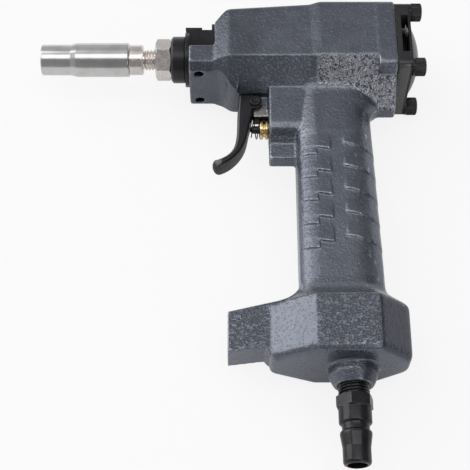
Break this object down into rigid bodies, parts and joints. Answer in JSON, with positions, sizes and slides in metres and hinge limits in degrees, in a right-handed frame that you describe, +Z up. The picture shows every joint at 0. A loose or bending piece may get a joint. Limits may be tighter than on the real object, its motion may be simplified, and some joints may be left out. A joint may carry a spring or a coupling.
{
  "type": "pneumatic upholstery nailer",
  "caption": "Hand held air nailer with a cast body, adjustable turned nozzle, trigger lever, ribbed handle, forward arm on the base and a quick-coupler air plug.",
  "frame": {"origin": "centre of the nozzle's mouth, on the drive axis", "axes": "+X along the drive axis from the mouth to the rear screws, +Y up the tool from the air plug to the head, +Z up out of the tool's left side, so the tool lies on its right side"},
  "size_m": [0.179, 0.2175, 0.0446],
  "materials": {
    "casting": "satin",
    "black_steel": "satin",
    "bright_steel": "polished",
    "nickel_steel": "satin",
    "spring_steel": "satin",
    "brass": "polished",
    "rubber": "matte",
    "piston_alloy": "satin",
    "valve_plastic": "matte",
    "gasket_sheet": "matte"
  },
  "bodies": {
    "body": {"body_casting": "casting", "nose_block": "black_steel", "nose_block_screws": "black_steel", "trigger_pin": "black_steel", "trigger_pin_clip": "spring_steel", "valve_guide": "brass", "valve_guide_o_ring": "rubber", "valve_spring": "spring_steel", "cylinder_sleeve": "piston_alloy", "cylinder_o_rings": "rubber", "driver_bumper": "rubber", "head_valve_spring": "spring_steel", "cap_gasket": "gasket_sheet", "rear_cap": "black_steel", "exhaust_plate": "black_steel", "cap_lock_washers": "black_steel", "cap_screws": "black_steel", "air_plug": "black_steel"},
    "trigger": {"trigger": "black_steel"},
    "stem": {"valve_stem": "black_steel", "valve_stem_o_rings": "rubber"},
    "driver": {"piston": "piston_alloy", "piston_o_ring": "rubber", "driver_rod": "nickel_steel"},
    "head_valve": {"head_valve": "valve_plastic", "head_valve_o_ring": "rubber"},
    "nozzle": {"nozzle_stud": "nickel_steel", "nozzle_sleeve": "bright_steel", "nail_magnet": "nickel_steel"},
    "nut": {"jam_nut": "nickel_steel"}
  },
  "joints": [
    {"name": "trigger_pull", "type": "hinge", "parent": "body", "child": "trigger", "pos_m": [0.101, -0.0271, 0], "axis": [0, 0, 1], "range_deg": [0, 6], "stiffness_Nm_per_rad": 0.6, "springref_deg": -11.46, "deforming": ["valve_spring"]},
    {"name": "stem_push", "type": "slide", "parent": "body", "child": "stem", "axis": [1, 0, 0], "range_m": [0, 0.00128]},
    {"name": "piston_stroke", "type": "slide", "parent": "body", "child": "driver", "axis": [-1, 0, 0], "range_m": [0, 0.036]},
    {"name": "head_valve_lift", "type": "slide", "parent": "body", "child": "head_valve", "axis": [1, 0, 0], "range_m": [0, 0.003], "stiffness_N_per_m": 800, "springref_m": -0.006, "deforming": ["head_valve_spring"]},
    {"name": "nozzle_adjust", "type": "slide", "parent": "body", "child": "nozzle", "axis": [1, 0, 0], "range_m": [-0.003, 0.003]},
    {"name": "jam_nut_turn", "type": "hinge", "parent": "body", "child": "nut", "pos_m": [0.0579, 0, 0], "axis": [1, 0, 0], "continuous": true}
  ],
  "couplings": [
    {"joint": "stem_push", "follows": "trigger_pull", "m_per_rad": 0.0122}
  ]
}
